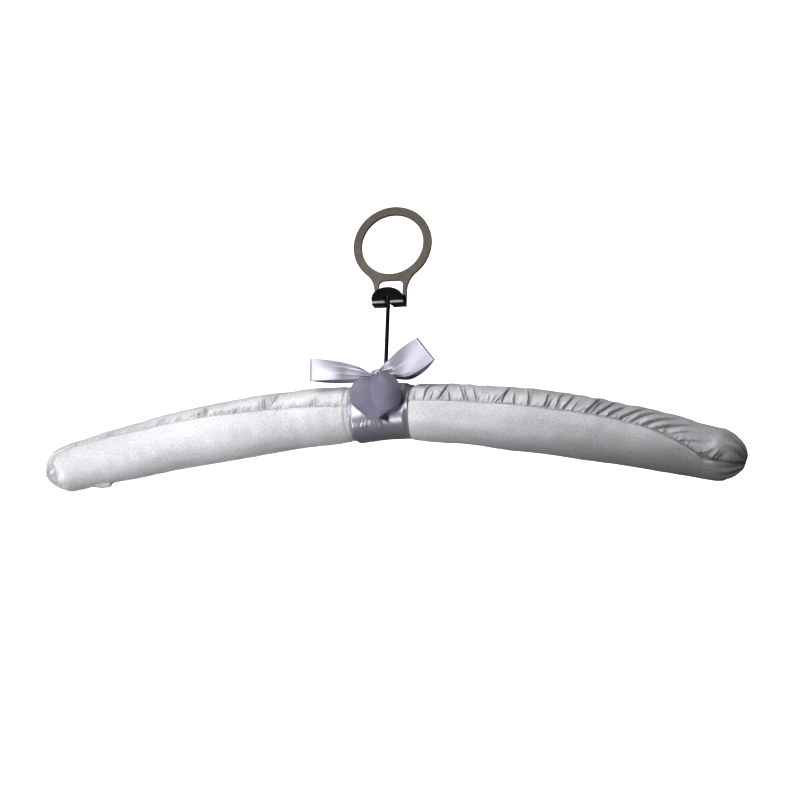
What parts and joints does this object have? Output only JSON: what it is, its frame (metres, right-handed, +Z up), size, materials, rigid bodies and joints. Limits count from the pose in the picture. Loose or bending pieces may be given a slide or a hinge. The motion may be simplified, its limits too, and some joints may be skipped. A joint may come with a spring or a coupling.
{
  "type": "padded clothes hanger",
  "caption": "Padded satin clothes hanger with ribbon bow, hung by a ball-top pin from a closed security ring that stays on the rail.",
  "frame": {"origin": "centre of the security ring's hole, halfway through the plate", "axes": "+X along the arms to the viewer's right, +Y from front to back along the ring's hole, +Z up"},
  "size_m": [0.3988, 0.0509, 0.178],
  "materials": {
    "ring_nickel": "satin nickel plate",
    "black_metal": "glossy black plate",
    "zinc_steel": "bright zinc",
    "core_wood": "plain sanded",
    "wadding": "soft polyester wadding",
    "cover_satin": "pale silver satin",
    "ribbon_satin": "lilac-grey satin ribbon"
  },
  "bodies": {
    "ring": {"security_ring": "ring_nickel", "pin_cradle": "black_metal"},
    "pin": {"ball_pin": "black_metal", "pin_washer": "zinc_steel", "pin_nut": "zinc_steel"},
    "arms": {"wood_core": "core_wood", "left_padding": "wadding", "right_padding": "wadding", "left_front_panel": "cover_satin", "right_front_panel": "cover_satin", "left_back_panel": "cover_satin", "right_back_panel": "cover_satin", "left_ruched_strip": "cover_satin", "right_ruched_strip": "cover_satin", "ribbon_wrap": "ribbon_satin", "bow_knot": "ribbon_satin", "bow_left_loop": "ribbon_satin", "bow_right_loop": "ribbon_satin", "bow_left_tail": "ribbon_satin", "bow_right_tail": "ribbon_satin"}
  },
  "joints": [
    {"name": "pin_tilt", "type": "hinge", "parent": "ring", "child": "pin", "pos_m": [0, -0.0048, -0.037], "axis": [1, 0, 0], "range_deg": [-80, 88]},
    {"name": "arm_swivel", "type": "hinge", "parent": "pin", "child": "arms", "pos_m": [0, -0.0048, -0.105], "axis": [0, 0, 1], "continuous": true}
  ]
}
